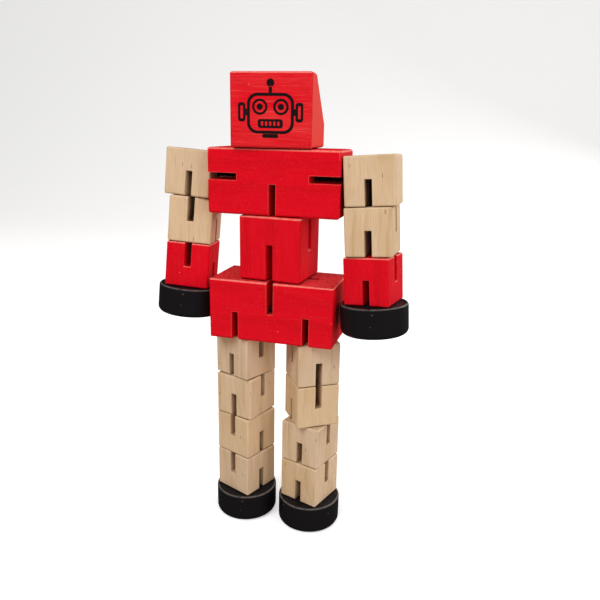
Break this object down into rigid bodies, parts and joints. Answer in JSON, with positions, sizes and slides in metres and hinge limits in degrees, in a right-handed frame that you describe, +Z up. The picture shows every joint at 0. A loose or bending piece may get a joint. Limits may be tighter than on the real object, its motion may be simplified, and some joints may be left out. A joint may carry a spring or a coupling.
{
  "type": "wooden block robot toy",
  "caption": "Standing toy robot made of wooden blocks and discs threaded on elastic cord, with jointed head, trunk, arms and legs.",
  "frame": {"origin": "on the ground plane, under the middle of the whole toy's bounding box", "axes": "+Z up, -Y is the robot's front, +X towards the robot's own left"},
  "size_m": [0.1101, 0.0315, 0.1927],
  "materials": {
    "red_paint": "red stained and satin varnished, grain showing, worn edges",
    "natural_wood": "clear sanded pine",
    "black_paint": "satin black paint with small nicks",
    "elastic_cord": "dull black covered elastic"
  },
  "bodies": {
    "pelvis": {"pelvis": "red_paint", "leg_cord_middle": "elastic_cord", "spine_cord_tail": "elastic_cord"},
    "lumbar_cord": {"lumbar_cord": "elastic_cord"},
    "waist": {"waist": "red_paint"},
    "chest_cord": {"chest_cord": "elastic_cord"},
    "chest": {"chest": "red_paint", "neck_cord": "elastic_cord", "arm_cord_middle": "elastic_cord"},
    "head": {"head": "red_paint"},
    "right_shoulder_block": {"right_shoulder_block": "natural_wood"},
    "right_upper_arm_block": {"right_upper_arm_block": "natural_wood"},
    "right_forearm_block": {"right_forearm_block": "red_paint"},
    "right_hand_disc": {"right_hand_disc": "black_paint"},
    "right_shoulder_cord": {"right_shoulder_cord": "elastic_cord"},
    "right_upper_arm_cord": {"right_upper_arm_cord": "elastic_cord"},
    "right_elbow_cord": {"right_elbow_cord": "elastic_cord"},
    "right_wrist_cord": {"right_wrist_cord": "elastic_cord"},
    "left_shoulder_block": {"left_shoulder_block": "natural_wood"},
    "left_upper_arm_block": {"left_upper_arm_block": "natural_wood"},
    "left_forearm_block": {"left_forearm_block": "red_paint"},
    "left_hand_disc": {"left_hand_disc": "black_paint"},
    "left_shoulder_cord": {"left_shoulder_cord": "elastic_cord"},
    "left_upper_arm_cord": {"left_upper_arm_cord": "elastic_cord"},
    "left_elbow_cord": {"left_elbow_cord": "elastic_cord"},
    "left_wrist_cord": {"left_wrist_cord": "elastic_cord"},
    "right_hip_block": {"right_hip_block": "natural_wood"},
    "right_thigh_block": {"right_thigh_block": "natural_wood"},
    "right_shin_block": {"right_shin_block": "natural_wood"},
    "right_ankle_block": {"right_ankle_block": "natural_wood"},
    "right_foot_disc": {"right_foot_disc": "black_paint"},
    "right_hip_cord": {"right_hip_cord": "elastic_cord"},
    "right_thigh_cord": {"right_thigh_cord": "elastic_cord"},
    "right_knee_cord": {"right_knee_cord": "elastic_cord"},
    "right_shin_cord": {"right_shin_cord": "elastic_cord"},
    "right_ankle_cord": {"right_ankle_cord": "elastic_cord"},
    "left_hip_block": {"left_hip_block": "natural_wood"},
    "left_thigh_block": {"left_thigh_block": "natural_wood"},
    "left_shin_block": {"left_shin_block": "natural_wood"},
    "left_ankle_block": {"left_ankle_block": "natural_wood"},
    "left_foot_disc": {"left_foot_disc": "black_paint"},
    "left_hip_cord": {"left_hip_cord": "elastic_cord"},
    "left_thigh_cord": {"left_thigh_cord": "elastic_cord"},
    "left_knee_cord": {"left_knee_cord": "elastic_cord"},
    "left_shin_cord": {"left_shin_cord": "elastic_cord"},
    "left_ankle_cord": {"left_ankle_cord": "elastic_cord"}
  },
  "joints": [
    {"name": "trunk_bend_forward", "type": "hinge", "parent": "pelvis", "child": "lumbar_cord", "pos_m": [0, -0.01135, 0.1129], "axis": [1, 0, 0], "range_deg": [0, 90], "stiffness_Nm_per_rad": 0.02},
    {"name": "waist_turn", "type": "hinge", "parent": "lumbar_cord", "child": "waist", "pos_m": [0, 0.0021, 0.1131], "axis": [0, 0, 1], "range_deg": [-6, 6], "stiffness_Nm_per_rad": 0.005},
    {"name": "chest_turn", "type": "hinge", "parent": "waist", "child": "chest_cord", "pos_m": [0, 0.0021, 0.1393], "axis": [0, 0, 1], "range_deg": [-6, 6], "stiffness_Nm_per_rad": 0.005},
    {"name": "chest_bend_back", "type": "hinge", "parent": "chest_cord", "child": "chest", "pos_m": [0, 0.01335, 0.1393], "axis": [1, 0, 0], "range_deg": [-90, 0], "stiffness_Nm_per_rad": 0.02},
    {"name": "head_turn", "type": "hinge", "parent": "chest", "child": "head", "pos_m": [0, 0.0021, 0.1651], "axis": [0, 0, 1], "range_deg": [-180, 180], "stiffness_Nm_per_rad": 0.0025},
    {"name": "right_arm_swing", "type": "hinge", "parent": "chest", "child": "right_shoulder_cord", "pos_m": [-0.027, 0.0047, 0.154], "axis": [-1, 0, 0], "range_deg": [-180, 180], "stiffness_Nm_per_rad": 0.0025},
    {"name": "right_arm_raise", "type": "hinge", "parent": "right_shoulder_cord", "child": "right_shoulder_block", "pos_m": [-0.0272, 0.00523, 0.16273], "axis": [0, 0.9981, -0.061], "range_deg": [0, 85], "stiffness_Nm_per_rad": 0.02},
    {"name": "right_arm_fold_1", "type": "hinge", "parent": "right_shoulder_block", "child": "right_upper_arm_cord", "pos_m": [-0.03775, -0.00511, 0.14512], "axis": [-0.9976, 0.0043, 0.0696], "range_deg": [0, 90], "stiffness_Nm_per_rad": 0.02},
    {"name": "right_upper_arm_turn", "type": "hinge", "parent": "right_upper_arm_cord", "child": "right_upper_arm_block", "pos_m": [-0.03776, 0.00411, 0.14436], "axis": [0.0698, 0.0609, 0.9957], "range_deg": [-16, 1], "stiffness_Nm_per_rad": 0.0025},
    {"name": "right_arm_fold_2", "type": "hinge", "parent": "right_upper_arm_block", "child": "right_elbow_cord", "pos_m": [-0.04814, 0.00124, 0.12628], "axis": [0.1903, -0.9806, 0.0466], "range_deg": [-90, 0], "stiffness_Nm_per_rad": 0.02},
    {"name": "right_forearm_turn", "type": "hinge", "parent": "right_elbow_cord", "child": "right_forearm_block", "pos_m": [-0.03909, 0.00295, 0.12534], "axis": [0.0698, 0.0609, 0.9957], "range_deg": [-180, 180], "stiffness_Nm_per_rad": 0.0025},
    {"name": "right_hand_fold", "type": "hinge", "parent": "right_forearm_block", "child": "right_wrist_cord", "pos_m": [-0.0495, 0.00023, 0.10726], "axis": [-0.1732, 0.9837, -0.048], "range_deg": [0, 90], "stiffness_Nm_per_rad": 0.02},
    {"name": "right_hand_spin", "type": "hinge", "parent": "right_wrist_cord", "child": "right_hand_disc", "pos_m": [-0.04043, 0.00178, 0.10632], "axis": [0.0698, 0.0609, 0.9957], "continuous": true},
    {"name": "left_arm_swing", "type": "hinge", "parent": "chest", "child": "left_shoulder_cord", "pos_m": [0.027, 0.0005, 0.154], "axis": [-1, 0, 0], "range_deg": [-180, 180], "stiffness_Nm_per_rad": 0.0025},
    {"name": "left_arm_raise", "type": "hinge", "parent": "left_shoulder_cord", "child": "left_shoulder_block", "pos_m": [0.0272, 0.00088, 0.16274], "axis": [0, -0.999, 0.0436], "range_deg": [0, 85], "stiffness_Nm_per_rad": 0.02},
    {"name": "left_arm_fold_1", "type": "hinge", "parent": "left_shoulder_block", "child": "left_upper_arm_cord", "pos_m": [0.03787, -0.00915, 0.14503], "axis": [-0.9971, -0.0033, -0.0766], "range_deg": [0, 90], "stiffness_Nm_per_rad": 0.02},
    {"name": "left_upper_arm_turn", "type": "hinge", "parent": "left_upper_arm_cord", "child": "left_upper_arm_block", "pos_m": [0.03789, 0.00008, 0.14442], "axis": [-0.0767, 0.0435, 0.9961], "range_deg": [-8, 10], "stiffness_Nm_per_rad": 0.0025},
    {"name": "left_arm_fold_2", "type": "hinge", "parent": "left_upper_arm_block", "child": "left_elbow_cord", "pos_m": [0.03886, -0.00997, 0.12596], "axis": [0.9957, -0.0489, 0.0788], "range_deg": [-90, 0], "stiffness_Nm_per_rad": 0.02},
    {"name": "left_forearm_turn", "type": "hinge", "parent": "left_elbow_cord", "child": "left_forearm_block", "pos_m": [0.03935, -0.00075, 0.1254], "axis": [-0.0767, 0.0435, 0.9961], "range_deg": [-180, 180], "stiffness_Nm_per_rad": 0.0025},
    {"name": "left_hand_fold", "type": "hinge", "parent": "left_forearm_block", "child": "left_wrist_cord", "pos_m": [0.04256, 0.00751, 0.10631], "axis": [0.9787, -0.1873, 0.0836], "range_deg": [0, 90], "stiffness_Nm_per_rad": 0.02},
    {"name": "left_hand_spin", "type": "hinge", "parent": "left_wrist_cord", "child": "left_hand_disc", "pos_m": [0.04082, -0.00158, 0.10637], "axis": [-0.0767, 0.0435, 0.9961], "continuous": true},
    {"name": "right_leg_raise_forward", "type": "hinge", "parent": "pelvis", "child": "right_hip_cord", "pos_m": [-0.0151, -0.01135, 0.0874], "axis": [-1, 0, 0], "range_deg": [0, 90], "stiffness_Nm_per_rad": 0.02},
    {"name": "right_hip_turn", "type": "hinge", "parent": "right_hip_cord", "child": "right_hip_block", "pos_m": [-0.0151, 0.0021, 0.0872], "axis": [0, 0, 1], "range_deg": [-180, 180], "stiffness_Nm_per_rad": 0.0025},
    {"name": "right_leg_fold_1", "type": "hinge", "parent": "right_hip_block", "child": "right_thigh_cord", "pos_m": [-0.01886, -0.00635, 0.0687], "axis": [0.9135, -0.4067, 0], "range_deg": [-90, 0], "stiffness_Nm_per_rad": 0.02},
    {"name": "right_thigh_turn", "type": "hinge", "parent": "right_thigh_cord", "child": "right_thigh_block", "pos_m": [-0.0151, 0.0021, 0.0685], "axis": [0, 0, 1], "range_deg": [-180, 180], "stiffness_Nm_per_rad": 0.0025},
    {"name": "right_leg_fold_2", "type": "hinge", "parent": "right_thigh_block", "child": "right_knee_cord", "pos_m": [-0.0124, 0.01095, 0.05], "axis": [-0.9563, 0.2924, 0], "range_deg": [-90, 0], "stiffness_Nm_per_rad": 0.02},
    {"name": "right_shin_turn", "type": "hinge", "parent": "right_knee_cord", "child": "right_shin_block", "pos_m": [-0.0151, 0.0021, 0.0498], "axis": [0, 0, 1], "range_deg": [-180, 180], "stiffness_Nm_per_rad": 0.0025},
    {"name": "right_leg_fold_3", "type": "hinge", "parent": "right_shin_block", "child": "right_shin_cord", "pos_m": [-0.02368, 0.00556, 0.0313], "axis": [0.3746, 0.9272, 0], "range_deg": [0, 90], "stiffness_Nm_per_rad": 0.02},
    {"name": "right_ankle_turn", "type": "hinge", "parent": "right_shin_cord", "child": "right_ankle_block", "pos_m": [-0.0151, 0.0021, 0.0311], "axis": [0, 0, 1], "range_deg": [-180, 180], "stiffness_Nm_per_rad": 0.0025},
    {"name": "right_foot_fold", "type": "hinge", "parent": "right_ankle_block", "child": "right_ankle_cord", "pos_m": [-0.02362, 0.00571, 0.0126], "axis": [0.3907, 0.9205, 0], "range_deg": [0, 90], "stiffness_Nm_per_rad": 0.02},
    {"name": "right_foot_spin", "type": "hinge", "parent": "right_ankle_cord", "child": "right_foot_disc", "pos_m": [-0.0151, 0.0021, 0.0124], "axis": [0, 0, 1], "continuous": true},
    {"name": "left_leg_raise_forward", "type": "hinge", "parent": "pelvis", "child": "left_hip_cord", "pos_m": [0.0151, -0.01135, 0.0874], "axis": [-1, 0, 0], "range_deg": [0, 90], "stiffness_Nm_per_rad": 0.02},
    {"name": "left_hip_turn", "type": "hinge", "parent": "left_hip_cord", "child": "left_hip_block", "pos_m": [0.0151, 0.0021, 0.0872], "axis": [0, 0, 1], "range_deg": [-180, 180], "stiffness_Nm_per_rad": 0.0025},
    {"name": "left_leg_fold_1", "type": "hinge", "parent": "left_hip_block", "child": "left_thigh_cord", "pos_m": [0.02014, -0.00566, 0.0687], "axis": [-0.8387, -0.5446, 0], "range_deg": [0, 90], "stiffness_Nm_per_rad": 0.02},
    {"name": "left_thigh_turn", "type": "hinge", "parent": "left_thigh_cord", "child": "left_thigh_block", "pos_m": [0.0151, 0.0021, 0.0685], "axis": [0, 0, 1], "range_deg": [-180, 180], "stiffness_Nm_per_rad": 0.0025},
    {"name": "left_leg_fold_2", "type": "hinge", "parent": "left_thigh_block", "child": "left_knee_cord", "pos_m": [0.02277, 0.00727, 0.05], "axis": [-0.5592, 0.829, 0], "range_deg": [-90, 0], "stiffness_Nm_per_rad": 0.02},
    {"name": "left_shin_turn", "type": "hinge", "parent": "left_knee_cord", "child": "left_shin_block", "pos_m": [0.0151, 0.0021, 0.0498], "axis": [0, 0, 1], "range_deg": [-180, 180], "stiffness_Nm_per_rad": 0.0025},
    {"name": "left_leg_fold_3", "type": "hinge", "parent": "left_shin_block", "child": "left_shin_cord", "pos_m": [0.0178, 0.01095, 0.0313], "axis": [0.9563, -0.2924, 0], "range_deg": [0, 90], "stiffness_Nm_per_rad": 0.02},
    {"name": "left_ankle_turn", "type": "hinge", "parent": "left_shin_cord", "child": "left_ankle_block", "pos_m": [0.0151, 0.0021, 0.0311], "axis": [0, 0, 1], "range_deg": [-180, 180], "stiffness_Nm_per_rad": 0.0025},
    {"name": "left_foot_fold", "type": "hinge", "parent": "left_ankle_block", "child": "left_ankle_cord", "pos_m": [0.01811, 0.01085, 0.0126], "axis": [-0.9455, 0.3256, 0], "range_deg": [-90, 0], "stiffness_Nm_per_rad": 0.02},
    {"name": "left_foot_spin", "type": "hinge", "parent": "left_ankle_cord", "child": "left_foot_disc", "pos_m": [0.0151, 0.0021, 0.0124], "axis": [0, 0, 1], "continuous": true}
  ]
}
